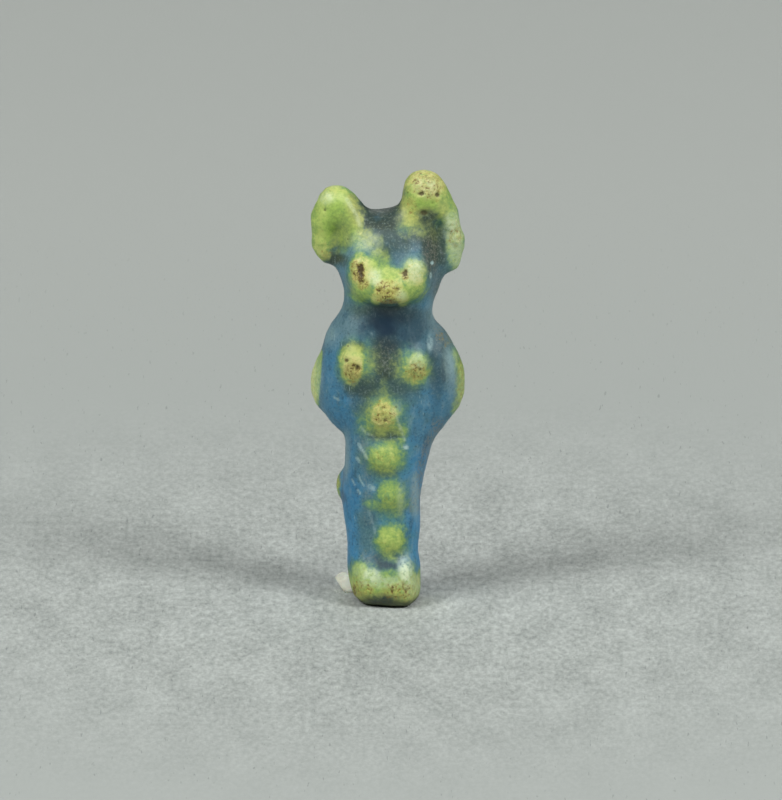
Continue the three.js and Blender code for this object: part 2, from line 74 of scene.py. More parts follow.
# Patches of colour on the front, by kind. Each is a name, then its middle and half size in pixels
# of the photograph, how strong it is, and the share of its half size over which its edge fades.
PATCHES = {
    "gold": [
        ("left eye", 362, 272, 13, 19, 0.86, 0.7),
        ("right of the left eye", 371, 269, 8, 13, 0.8, 0.9),
        ("bridge", 386, 277, 20, 10, 0.82, 0.8),
        ("brow", 379, 261, 12, 15, 0.44, 1.2),
        ("temple", 362, 240, 15, 13, 0.5, 1.0),
        ("nose", 389, 291, 16, 14, 0.92, 0.7),
        ("left corner of the mouth", 377, 298, 7, 7, 0.9, 0.9),
        ("right corner of the mouth", 402, 297, 8, 8, 1.0, 0.9),
        ("left cheek", 362, 290, 12, 14, 0.7, 1.0),
        ("right eye", 414, 276, 13, 16, 0.84, 0.7),
        ("right cheek", 412, 288, 14, 13, 0.7, 1.0),
        ("left ear", 337, 216, 25, 33, 0.76, 0.7),
        ("left ear tip", 332, 194, 19, 13, 0.68, 1.0),
        ("left ear, lower rim", 321, 243, 8, 17, 0.9, 0.9),
        ("root of the left ear", 340, 239, 15, 15, 0.4, 1.0),
        ("right ear tip", 425, 186, 24, 22, 0.88, 0.7),
        ("right ear under the tip", 423, 205, 20, 14, 0.74, 0.8),
        ("right ear, left edge", 411, 208, 10, 22, 0.8, 0.9),
        ("right ear, outside", 449, 206, 12, 28, 0.66, 0.8),
        ("right ear lobe", 456, 243, 10, 28, 0.64, 0.9),
        ("right ear hollow", 421, 225, 17, 14, 0.4, 1.0),
        ("beside the right ear", 402, 222, 8, 16, 0.34, 1.2),
        ("left breast", 352, 363, 12, 20, 0.93, 0.8),
        ("right of the left breast", 364, 362, 17, 19, 0.42, 1.2),
        ("right breast", 416, 369, 14, 16, 0.74, 1.0),
        ("left of the right breast", 403, 365, 14, 18, 0.38, 1.2),
        ("navel", 384, 415, 14, 17, 0.84, 0.8),
        ("around the navel", 383, 417, 23, 25, 0.46, 1.1),
        ("above the navel", 384, 391, 6, 14, 0.34, 1.0),
        ("left of the navel", 367, 422, 12, 16, 0.34, 1.0),
        ("below the navel", 386, 434, 17, 6, 0.32, 0.9),
        ("below the navel, right", 402, 432, 6, 13, 0.42, 1.0),
        ("loins", 384, 457, 16, 16, 0.66, 0.9),
        ("around the loins", 386, 457, 22, 20, 0.44, 1.0),
        ("thigh", 391, 495, 14, 16, 0.56, 1.1),
        ("around the thigh", 392, 499, 19, 22, 0.36, 1.2),
        ("left of the thigh", 374, 504, 11, 6, 0.4, 1.0),
        ("shin", 391, 539, 14, 15, 0.74, 0.8),
        ("around the shin", 391, 540, 18, 20, 0.46, 1.0),
        ("left instep", 359, 575, 10, 13, 0.74, 1.3),
        ("right instep", 408, 573, 9, 14, 0.4, 1.0),
        ("right ear hollow, lower", 437, 228, 12, 16, 0.36, 1.2),
        ("right ear, between tip and rim", 437, 212, 10, 12, 0.4, 1.0),
        ("middle of the left ear", 330, 219, 11, 18, 0.8, 1.1),
        ("between the insteps", 388, 578, 14, 9, 0.55, 1.4),
    ],
    # Bare and shaded: gold glaze worn off, and gold taken out as painted shade under the nose, in
    # the ear hollows and along the foot's underside
    "bare_and_shaded": [
        ("mouth", 389, 303.5, 8, 4, 0.6, 1.2),
        ("spot in the right ear", 426, 215, 10, 5.5, 0.45, 1.4),
        ("hollow of the right ear", 437, 230, 9, 13, 0.14, 1.0),
        ("hollow of the left ear", 342, 234, 10, 14, 0.26, 1.0),
        ("bottom of the foot", 382, 600, 14, 5, 0.5, 1.2),
        ("below the navel", 385, 434, 16, 5, 0.12, 1.2),
        ("under the spot in the right ear", 431, 222, 10, 9, 0.14, 1.2),
    ],
    "leaf": [
        ("left ear hollow", 340, 220, 20, 28, 1.0, 1.0),
        ("left ear, lower", 338, 238, 13, 15, 0.8, 1.0),
        ("right ear under the tip", 424, 206, 15, 10, 1.0, 1.0),
        ("left cheek", 361, 294, 10, 9, 0.7, 1.0),
        ("right cheek", 411, 292, 12, 9, 0.6, 1.0),
        ("brow", 380, 258, 11, 17, 0.8, 1.0),
        ("bridge", 388, 276, 14, 8, 0.6, 1.0),
        ("right ear rim", 446, 212, 10, 30, 0.4, 1.0),
        ("left ear rim", 320, 222, 9, 34, 0.7, 1.0),
        ("left instep", 357, 568, 10, 12, 0.6, 1.0),
        ("foot", 378, 586, 36, 14, 0.9, 1.0),
        ("right ear hollow", 434, 226, 16, 18, 0.8, 1.0),
        ("left elbow", 314, 378, 8, 34, 0.3, 1.0),
        ("cheeks", 388, 292, 36, 14, 0.4, 1.0),
        ("below the navel", 386, 434, 20, 7, 0.8, 1.0),
        ("right elbow", 460, 380, 10, 36, 0.8, 1.0),
        ("left edge of the right ear", 412, 204, 9, 20, 0.7, 1.0),
        ("top of the left breast", 354, 348, 11, 8, 0.6, 1.0),
        ("shin", 391, 543, 15, 17, 0.6, 1.0),
        ("loins", 384, 461, 18, 16, 0.5, 1.0),
        ("thigh", 391, 498, 16, 18, 0.5, 1.0),
        ("right of the right breast", 424, 352, 12, 10, 0.8, 1.0),
    ],
    "brown": [
        ("left eye", 360.5, 273, 3.8, 10, 0.74, 0.9),
        ("left eye, lower", 363, 285, 6, 6, 0.42, 1.0),
        ("left of the left eye", 354, 270, 4, 14, 0.36, 1.0),
        ("right eye", 405, 275, 4, 6, 0.45, 0.8),
        ("nose", 387, 292, 13, 11, 0.45, 1.2),
        ("left breast", 353, 372, 9, 11, 0.38, 1.0),
        ("right breast", 416, 372, 10, 10, 0.4, 1.0),
        ("navel", 384, 414, 12, 15, 0.3, 1.0),
        ("loins", 382, 459, 13, 13, 0.14, 1.0),
        ("thigh", 390, 499, 10, 10, 0.14, 1.0),
        ("shin", 389, 541, 10, 12, 0.1, 1.0),
        ("right ear tip", 426, 184, 18, 16, 0.34, 1.5),
        ("right ear lobe", 455, 236, 8, 12, 0.3, 1.0),
        ("left ear rim", 319, 228, 6, 30, 0.1, 1.0),
        ("left ear lobe", 327, 253, 6, 5, 0.24, 1.0),
        ("right ear inner rim", 412, 208, 6, 14, 0.24, 1.0),
        ("right toes", 400, 590, 17, 9, 0.36, 0.9),
        ("left toes", 361, 588, 12, 9, 0.34, 1.0),
        ("right shoulder", 446, 338, 10, 10, 0.2, 1.0),
        ("right elbow", 461, 380, 6, 28, 0.2, 1.0),
        ("under the nose", 390, 301, 13, 3.5, 0.4, 1.0),
        ("left hip", 338, 481, 4, 10, 0.3, 1.0),
        ("corner of the left toes", 355, 590, 5, 8, 0.4, 1.0),
    ],
    # Soot and shade: grey-olive soot on the glaze, and painted shade in the ear hollows, on the
    # crown, under the muzzle and chest, under the knobs and along the foot's underside
    "soot_and_shade": [
        ("crown", 379, 213, 34, 19, 1.0, 0.8),
        ("forehead", 390, 240, 22, 18, 0.75, 1.2),
        ("left of the forehead", 369, 226, 12, 16, 0.7, 1.0),
        ("right temple", 430, 248, 9, 32, 0.75, 0.9),
        ("hollow of the right ear", 437, 247, 11, 22, 0.8, 0.9),
        ("under the right ear's hollow", 422, 230, 16, 17, 0.8, 1.0),
        ("mouth", 390, 306, 17, 7, 0.75, 0.9),
        ("throat", 388, 314, 34, 10, 0.5, 0.9),
        ("between the breasts", 386, 358, 16, 26, 0.9, 0.8),
        ("above the navel", 380, 386, 38, 14, 0.6, 0.9),
        ("under the left breast", 362, 388, 20, 12, 0.7, 0.9),
        ("right of the chest", 438, 366, 10, 26, 0.5, 1.0),
        ("under the left ear", 334, 259, 12, 6, 0.9, 0.9),
        ("root of the left ear", 335, 249, 6, 14, 0.7, 1.0),
        ("left of the navel", 362, 404, 12, 12, 0.5, 1.0),
        ("left ear, lower right", 343, 236, 9, 13, 0.6, 1.0),
        ("spot in the right ear", 425, 217, 14, 9, 1.0, 1.0),
        ("left toes", 360, 597, 14, 6, 0.8, 1.0),
        ("middle of the foot", 384, 599, 20, 7, 0.9, 1.0),
        ("right toes", 410, 599, 10, 6, 0.5, 1.0),
        ("below the navel", 385, 434, 17, 7, 0.8, 1.2),
        ("top of the left breast", 354, 347, 12, 6, 0.7, 1.0),
        ("right side of the neck", 437, 285, 6, 18, 0.4, 1.0),
        ("edge under the left ear", 343, 262, 6, 5, 0.5, 1.0),
        ("bottom of the foot", 382, 600, 18, 7, 1.0, 0.8),
        ("right ear, between tip and rim", 443, 211, 6, 9, 0.5, 1.0),
        ("lower edge of the loins", 386, 472, 15, 6, 0.5, 1.2),
        ("lower edge of the thigh", 392, 509, 14, 7, 0.2, 1.2),
        ("lower edge of the shin", 391, 553, 13, 6, 0.5, 1.2),
    ],
    # Slate and highlight: paler grey-blue glaze, and painted highlights on the shoulders and the
    # right arm
    "slate_and_highlight": [
        ("left shoulder", 347, 322, 18, 16, 0.55, 0.9),
        ("left shoulder, outside", 330, 336, 12, 14, 0.5, 0.9),
        ("left temple", 348, 251, 12, 9, 0.6, 1.0),
        ("right shoulder", 436, 318, 10, 16, 0.9, 1.0),
        ("right arm", 450, 362, 9, 26, 1.0, 0.9),
        ("right side of the neck", 436, 300, 6, 20, 0.5, 1.0),
        ("left edge of the hip", 346, 455, 5, 24, 0.8, 1.0),
        ("right leg", 412, 496, 8, 22, 0.45, 1.0),
        ("forehead, left", 386, 240, 10, 12, 0.3, 1.2),
    ],
    "murk": [
        ("left of the loins", 366, 462, 12, 30, 0.5, 0.9),
        ("left of the shin", 368, 526, 11, 36, 0.7, 0.9),
        ("between the loins and the thigh", 388, 480, 18, 6, 0.4, 1.0),
        ("above the instep", 374, 562, 16, 9, 0.7, 1.0),
        ("belly", 404, 396, 16, 14, 0.4, 1.0),
        ("left of the chin", 362, 308, 14, 8, 0.8, 1.0),
        ("right temple, outside", 445, 252, 6, 20, 0.7, 1.0),
        ("right arm, edge", 456, 344, 9, 12, 0.6, 1.0),
        ("between the insteps", 389, 565, 18, 12, 1.0, 1.0),
        ("below the navel", 385, 437, 20, 7, 0.8, 1.0),
    ],
    "dust": [
        ("right temple", 431, 252, 7, 22, 0.8, 1.0),
        ("right side of the neck", 438, 300, 5, 20, 0.6, 1.0),
        ("right shoulder", 442, 330, 9, 14, 0.6, 1.0),
        ("crown", 384, 206, 20, 6, 0.4, 1.0),
        ("hollow of the right ear", 424, 234, 10, 9, 0.5, 1.0),
        ("above the instep", 371, 558, 9, 9, 0.4, 1.0),
        ("between the breasts", 386, 356, 14, 16, 0.4, 1.0),
    ],
    # Frost and highlight: pale bloom and fine white scratches on the glaze, and painted highlights
    # on the ear tips, eyes, nose, insteps, shoulders, arms and breasts
    "frost_and_highlight": [
        ("left ear tip", 327, 199, 8, 6, 0.4, 1.3),
        ("temple", 363, 243, 12, 9, 0.3, 1.2),
        ("temple, left", 357, 239, 6, 4, 0.25, 1.0),
        ("right eye", 414, 270, 10, 12, 0.5, 1.2),
        ("bridge", 375, 277, 6, 8, 0.5, 1.2),
        ("left instep", 372, 576, 9, 7, 0.75, 1.1),
        ("right instep", 405.5, 570, 6.5, 15, 0.9, 1.3),
        ("under the insteps", 386, 582, 26, 6, 0.45, 1.2),
        ("right foot", 412, 584, 10, 10, 0.4, 1.2),
        ("right ear rim", 450, 227, 7, 12, 0.7, 1.2),
        ("right ear lobe", 456, 242, 8, 26, 0.5, 1.2),
        ("right ear tip", 426, 187, 12, 10, 0.35, 1.2),
        ("left shoulder", 330, 334, 6, 8, 0.25, 1.2),
        ("navel", 396, 410, 5, 8, 0.25, 1.2),
        ("right breast", 417, 362, 9, 8, 0.42, 1.2),
        ("right temple", 432, 263.5, 1.7, 1.7, 1.0, 0.8),
        ("right temple, lower", 430.5, 276, 1.2, 3, 1.0, 0.6),
        ("right of the loins", 406, 447, 3, 2, 0.9, 0.8),
        ("right arm", 451, 361, 6, 14, 0.35, 1.2),
        ("right forehead", 414, 257, 8, 3, 0.2, 1.2),
        ("right elbow", 459, 392, 8, 26, 0.2, 1.2),
        ("left elbow", 314, 382, 8, 26, 0.35, 1.0),
        ("flecks on the right leg", 415, 494, 3.5, 24, 0.4, 1.2),
        ("left instep, outside", 359, 571, 7, 8, 0.25, 1.2),
        ("gleam beside the right breast", 430, 342, 2.5, 9, 0.65, 1.4),
        ("thigh, right", 401, 497, 4, 16, 0.25, 1.2),
        ("right of the nose", 401, 296, 5, 5, 0.45, 1.4),
        ("specks beside the left eye", 374, 246, 8, 10, 0.25, 1.2),
    ],
    "azure": [
        ("left arm", 335, 384, 14, 46, 0.55, 1.0),
        ("right of the belly", 427, 408, 26, 34, 0.45, 1.0),
        ("left eye, left", 347, 268, 7, 20, 0.4, 1.0),
        ("left of the belly", 346, 410, 20, 24, 0.7, 1.0),
        ("neck", 430, 294, 12, 22, 0.3, 1.0),
    ],
    # Pooled and shaded: thick dark blue glaze, and painted shade under the muzzle, between the
    # insteps, under the hip and along the underside
    "pooled_and_shaded": [
        ("throat", 386, 322, 23, 15, 0.7, 0.9),
        ("middle of the throat", 384, 326, 14, 13, 0.8, 1.2),
        ("right of the throat", 408, 328, 20, 18, 0.6, 1.0),
        ("under the throat", 396, 342, 22, 10, 0.5, 1.0),
        ("beside the right breast", 436, 380, 8, 26, 0.3, 1.0),
        ("between the insteps", 389, 563, 15, 11, 0.75, 1.3),
        ("underside", 382, 606, 28, 8, 1.0, 0.9),
        ("left of the throat", 368, 330, 10, 12, 0.3, 1.0),
        ("left edge of the leg", 352, 492, 8, 22, 0.18, 1.0),
        ("crown", 380, 212, 30, 14, 0.25, 1.0),
        ("under the left hip", 342, 497, 4, 7, 0.5, 1.0),
        ("throat, left of the middle", 381, 324, 12, 10, 0.5, 1.2),
        ("upper right of the right breast", 430, 352, 8, 10, 0.25, 1.2),
    ],
}
STROKES = {
    "gold": [
        ("left ear rim", [(323, 255), (317, 243), (314, 224), (319, 206), (333, 193)], 8, 0.68),
        ("left ear inner rim", [(343, 195), (352, 207), (358, 222), (359, 232)], 6, 0.66),
        ("right elbow", [(459, 352), (465, 372), (466, 392), (460, 412)], 9, 0.4),
        ("brow", [(379, 238), (381, 250), (382, 264)], 5, 0.28),
        ("left elbow", [(320, 352), (318, 370), (317, 388)], 3, 0.6),
    ],
    # Soot and shade: dark lines painted along the inner edges of the ears as painted shade, and soot
    # on the right elbow
    "soot_and_shade": [
        ("edge of the left ear", [(352, 198), (362, 212), (367, 226)], 4, 0.8),
        ("edge of the right ear", [(402, 190), (398, 208), (394, 226)], 5, 0.8),
        ("right elbow", [(461, 352), (465, 380), (460, 410)], 7, 0.3),
    ],
    "dust": [
        ("right flank", [(439, 424), (428, 448), (420, 478), (414, 508)], 6, 0.75),
        ("left leg, inside", [(362, 440), (368, 480), (368, 520)], 5, 0.3),
    ],
    # Frost and highlight: fine white scratches, and a painted highlight along the inner rim of the
    # left ear
    "frost_and_highlight": [
        ("left ear inner rim", [(347, 200), (355, 213), (360, 226)], 2, 0.3),
        ("right of the navel", [(396, 415), (400, 427), (405, 440)], 1.3, 0.35),
        ("left of the navel", [(361, 427), (366, 433), (373, 436)], 1.3, 0.3),
        ("scratch by the loins", [(359, 444), (362, 450)], 1.7, 0.7),
        ("scratch by the loins, lower", [(364, 452), (367, 458)], 1.3, 0.5),
        ("scratch by the hip", [(357, 458), (359, 461)], 1.4, 0.5),
        ("scratch on the left thigh", [(352, 479), (355, 485)], 0.9, 0.5),
        ("scratch on the left thigh, right", [(359, 476), (361, 481), (364, 486)], 0.9, 0.5),
        ("scratch on the left thigh, lower", [(358, 490), (360, 493)], 1.3, 0.55),
        ("scratch by the thigh", [(370, 486), (374, 489)], 2.2, 0.55),
        ("scratch by the shin", [(369, 511), (372, 520), (375, 532)], 1.3, 0.25),
        ("scratch on the belly", [(334, 397), (339, 400)], 1.3, 0.5),
    ],
}
STROKE_EDGE = 0.9

# Patches on the sides and the back: middle and half size in millimetres, strength, pitting
SIDE_PATCHES = [
    ("left elbow", (-3.75, 0.5, 11.0), (1.0, 1.1, 1.9), 0.95, 0.3),
    ("right elbow", (4.0, 0.0, 11.2), (0.8, 1.3, 2.1), 0.62, 0.7),
    ("left hip", (-2.45, 0.75, 5.7), (0.7, 0.8, 1.1), 0.6, 0.8),
    ("right hip", (1.15, 2.2, 5.7), (0.9, 0.7, 1.1), 0.66, 0.5),
    ("left ear tip", (-2.6, 0.3, 20.5), (1.2, 0.9, 0.9), 0.6, 0.3),
    ("right ear tip", (2.0, 0.3, 21.3), (1.2, 1.1, 0.9), 0.85, 0.9),
]

# Hollows that are deep enough to model: middle and half size in pixels, depth in millimetres
PITS = [
    ("left eye", 360.5, 271, 3.4, 8, 0.13),
    ("left eye, lower", 363, 282, 3, 4, 0.08),
    ("left eye, left", 355, 276, 2.2, 2.2, 0.06),
    ("right eye", 405.5, 274.5, 2.8, 4.2, 0.11),
    ("right eye, corner", 400, 273, 3, 2, 0.06),
    ("right ear", 424, 214.5, 5.2, 3.4, 0.08),
    ("right ear tip", 421, 195, 4, 3.2, 0.11),
    ("right ear tip, right", 438, 195, 3.2, 3.6, 0.1),
    ("right ear tip, top", 426, 176, 2.2, 2, 0.06),
    ("right ear, right", 433, 204, 2.2, 2, 0.06),
    ("left ear", 325, 211, 2.2, 2.4, 0.07),
    ("left ear tip", 330, 191, 2, 1.6, 0.05),
    ("nose, right", 399, 289, 2.4, 2.6, 0.08),
    ("nose, left", 379, 291, 2.2, 2.4, 0.07),
    ("left breast", 346, 361, 3, 3.2, 0.09),
    ("left breast, lower", 357, 368, 3.4, 3.4, 0.1),
    ("right breast", 420, 370, 2.4, 2.4, 0.06),
    ("navel", 385, 421, 2.8, 2.2, 0.08),
    ("navel, upper", 384, 408, 2.4, 2.2, 0.06),
    ("toes, right", 405, 590, 2.2, 1.8, 0.05),
]
GROOVES = [
    ("below the navel", [(370, 437.5), (386, 438), (403, 437)], 1.4, 0.05),
]

# How much wider the green tinge round a gold patch is than the patch
HALO = 1.25

# How far the edges of patches and pits wander, in shares of their half size
EDGE_WOBBLE = 0.2
PIT_WOBBLE = 0.45

# How deep a crumbled spot is, and the depth of a pit that is fully brown, in millimetres
CRUMB_DEPTH = 0.05
PIT_DEPTH = 0.12


def smoothstep(low, high, value):
    t = np.clip((value - low) / (high - low), 0, 1)
    return t * t * (3 - 2 * t)


def fractal(points, size, octaves=3, seed=0.0):
    """Soft noise of about -1 to 1 at each point, with lumps about size millimetres wide."""
    shift = Vector((seed, 0.7 * seed, -seed))
    return np.array([noise.fractal(Vector(p) / size + shift, 1.0, 2.0, octaves) for p in points])


# Geometry


class Skin:
    """The points and normals of a mesh as arrays, with the points in millimetres."""

    def __init__(self, mesh):
        self.mesh = mesh
        flat = np.empty(len(mesh.vertices) * 3)
        mesh.vertices.foreach_get("co", flat)
        self.points = flat.reshape(-1, 3) / MM
        self.read_normals()

    def read_normals(self):
        flat = np.empty(len(self.mesh.vertices) * 3)
        self.mesh.vertices.foreach_get("normal", flat)
        self.normals = flat.reshape(-1, 3)

    def push(self, height):
        """Moves each point out along its normal, apart from the flat underside."""
        height = height * smoothstep(UNDERSIDE, 6 * UNDERSIDE, self.points[:, 2])
        self.points = self.points + self.normals * height[:, None]
        self.mesh.vertices.foreach_set("co", (self.points * MM).ravel())
        self.mesh.update()
        self.read_normals()

    def add_mask(self, name, values):
        layer = self.mesh.attributes.new(name, "FLOAT", "POINT")
        layer.data.foreach_set("value", np.clip(values, 0, 1).astype(np.float32))

    def pixels(self):
        """The column and the row of the photograph that each point shows at."""
        column = ORIGIN_PIXEL[0] + PIXELS_PER_MM * self.points[:, 0]
        row = ORIGIN_PIXEL[1] - PIXELS_PER_MM * (self.points @ UP)
        return column, row


def evened(bm, passes):
    """Smooths a mesh without shrinking it, apart from its flat underside."""
    loose = [v for v in bm.verts if v.co.z > UNDERSIDE * MM]
    for factor in (0.5, -0.53) * passes:
        moved = []
        for v in loose:
            near = [e.other_vert(v).co for e in v.link_edges]
            moved.append(v.co.lerp(sum(near, Vector()) / len(near), factor))
        for v, place in zip(loose, moved):
            v.co = place


def finer_copy(node, name, levels, passes):
    """A copy of a CAD node's mesh, evened out and subdivided."""
    bm = bmesh.new()
    bm.from_mesh(node.data)
    bmesh.ops.remove_doubles(bm, verts=bm.verts, dist=1e-6)
    bmesh.ops.join_triangles(
        bm, faces=bm.faces, angle_face_threshold=math.pi, angle_shape_threshold=math.pi
    )
    evened(bm, passes)
    coarse = bpy.data.meshes.new(name)
    bm.to_mesh(coarse)
    bm.free()
    obj = bpy.data.objects.new(name, coarse)
    bpy.context.scene.collection.objects.link(obj)
    finer = obj.modifiers.new("finer", "SUBSURF")
    finer.levels = levels
    bpy.context.view_layer.update()
    shown = obj.evaluated_get(bpy.context.evaluated_depsgraph_get())
    obj.data = bpy.data.meshes.new_from_object(shown)
    obj.modifiers.clear()
    bpy.data.meshes.remove(coarse)
    obj.data.polygons.foreach_set("use_smooth", [True] * len(obj.data.polygons))
    return obj


# Masks: how much of something each point of the skin has


class Front:
    """Paints masks on the skin as the photograph's camera sees it."""

    def __init__(self, skin):
        self.column, self.row = skin.pixels()
        self.facing = smoothstep(-0.5, -0.1, skin.normals @ BACK)
        self.wobble = EDGE_WOBBLE * fractal(skin.points, 0.45, 5, 4.0)
        self.pit_wobble = PIT_WOBBLE * fractal(skin.points, 0.25, 3, 6.0)

    def patch(self, x, y, half_x, half_y):
        """How far each point is from a patch's middle, in shares of its half size."""
        return np.hypot((self.column - x) / half_x, (self.row - y) / half_y)

    def stroke(self, path, half_width):
        """How far each point is from a path, in shares of the path's half width."""
        nearest = np.full(len(self.column), np.inf)
        for (ax, ay), (bx, by) in zip(path, path[1:]):
            dx, dy = bx - ax, by - ay
            along = (self.column - ax) * dx + (self.row - ay) * dy
            t = np.clip(along / (dx * dx + dy * dy), 0, 1)
            away = np.hypot(self.column - ax - t * dx, self.row - ay - t * dy)
            nearest = np.minimum(nearest, away)
        return nearest / half_width

    def paint(self, kind, wider=1.0):
        """A mask from all patches and strokes of one kind."""
        total = np.zeros(len(self.column))
        for _, x, y, half_x, half_y, strength, edge in PATCHES.get(kind, ()):
            away = self.patch(x, y, half_x, half_y) / wider + edge * self.wobble
            total = stronger(total, strength * smoothstep(1 + edge / 2, 1 - edge / 2, away))
        for _, path, half_width, strength in STROKES.get(kind, ()):
            away = self.stroke(path, half_width) + self.wobble
            fade = smoothstep(1 + STROKE_EDGE / 2, 1 - STROKE_EDGE / 2, away)
            total = stronger(total, strength * fade)
        return total * self.facing

    def pits(self, rim, floor):
        """The depth of the pits at each point, with soft edges from the rim in to the floor."""
        depth = np.zeros(len(self.column))
        for _, x, y, half_x, half_y, deep in PITS:
            away = self.patch(x, y, half_x, half_y) + self.pit_wobble
            depth = np.maximum(depth, deep * smoothstep(rim, floor, away))
        return depth * self.facing

    def grooves(self):
        depth = np.zeros(len(self.column))
        for _, path, half_width, deep in GROOVES:
            depth = np.maximum(depth, deep * smoothstep(1.3, 0.2, self.stroke(path, half_width)))
        return depth * self.facing


def stronger(a, b):
    """The greater of two masks, with a soft join between them."""
    return np.maximum(a, b) + 0.15 * np.minimum(a, b)


def side_mask(skin, middle, half, strength):
    away = np.linalg.norm((skin.points - middle) / half, axis=1)
    away += 0.15 * fractal(skin.points, 0.6, 3, 9.0)
    return strength * smoothstep(1.15, 0.45, away)


def foot_mask(skin):
    """The block of the two feet, whose glaze ends in a wavy line, higher on each instep."""
    x, y, z = skin.points.T
    wavy = 0.16 * fractal(skin.points, 0.6, 4, 2.0)
    dip = 0.6 * np.exp(-(((x - 0.15) / 0.5) ** 2))
    front = smoothstep(-0.8, -1.7, y + wavy) * smoothstep(2.9, 1.3, z + dip + wavy)
    sides = smoothstep(2.1, 1.2, z + wavy) * smoothstep(1.2, -0.6, y)
    return np.maximum(front, sides)


def leg_mask(skin):
    """The bluer glaze of the legs, all round."""
    wavy = 1.2 * fractal(skin.points, 1.6, 3, 5.0)
    return smoothstep(10.5, 6.0, skin.points[:, 2] + wavy)


def underside_shade_mask(skin):
    """Painted shade along the edge of the underside, where the foot rounds under onto the floor,
    thickest in the middle.
    """
    x, _, z = skin.points.T
    wavy = 0.12 * fractal(skin.points, 0.5, 4, 8.0)
    height = 0.55 + 0.45 * smoothstep(1.4, 0.6, np.abs(x + 0.1))
    return smoothstep(height, 0.15, z + wavy)


def relief(skin, front, crumbs):
    """How far the surface stands out or in at each point, in millimetres."""
    lumps = 0.03 * fractal(skin.points, 1.3, 3, 1.0) + 0.008 * fractal(skin.points, 0.3, 2, 7.0)
    return lumps - front.pits(1.3, 0.3) - front.grooves() - CRUMB_DEPTH * crumbs


def make_figure(node):
    obj = finer_copy(node, "glazed_figure", LEVELS, SMOOTHING_PASSES)
    skin = Skin(obj.data)
    front = Front(skin)
    masks = {kind: front.paint(kind) for kind in PATCHES}
    masks["halo"] = front.paint("gold", HALO)

    foot = foot_mask(skin)
    masks["gold"] = np.maximum(masks["gold"], 0.74 * foot) - 3 * front.grooves()
    # Gold taken out where it is worn, and as painted shade in hollows and under the nose
    masks["gold"] -= masks.pop("bare_and_shaded")
    masks["brown"] = np.maximum(masks["brown"], 0.14 * foot)
    masks["azure"] = np.maximum(masks["azure"], leg_mask(skin))
    # Painted shade along the foot's underside
    masks["underside_shade"] = underside_shade_mask(skin)
    for _, middle, half, strength, pitting in SIDE_PATCHES:
        patch = side_mask(skin, middle, half, strength)
        masks["gold"] = np.maximum(masks["gold"], patch)
        masks["brown"] = np.maximum(masks["brown"], 0.5 * patch * pitting)

    crumbs = 2 * masks["brown"] * smoothstep(0.15, 0.5, fractal(skin.points, 0.24, 3, 3.0))
    masks["brown"] += 0.3 * crumbs
    masks["pit"] = front.pits(1.4, 0.3) / PIT_DEPTH + front.grooves() / (2 * PIT_DEPTH)
    skin.push(relief(skin, front, crumbs))
    for kind, mask in masks.items():
        skin.add_mask(kind, mask)
    obj.data.materials.append(glaze_material())
    return obj


def make_wax(node):
    obj = finer_copy(node, "wax_chip", 0, 0)
    obj.data.materials.append(wax_material())
    return obj


# Materials


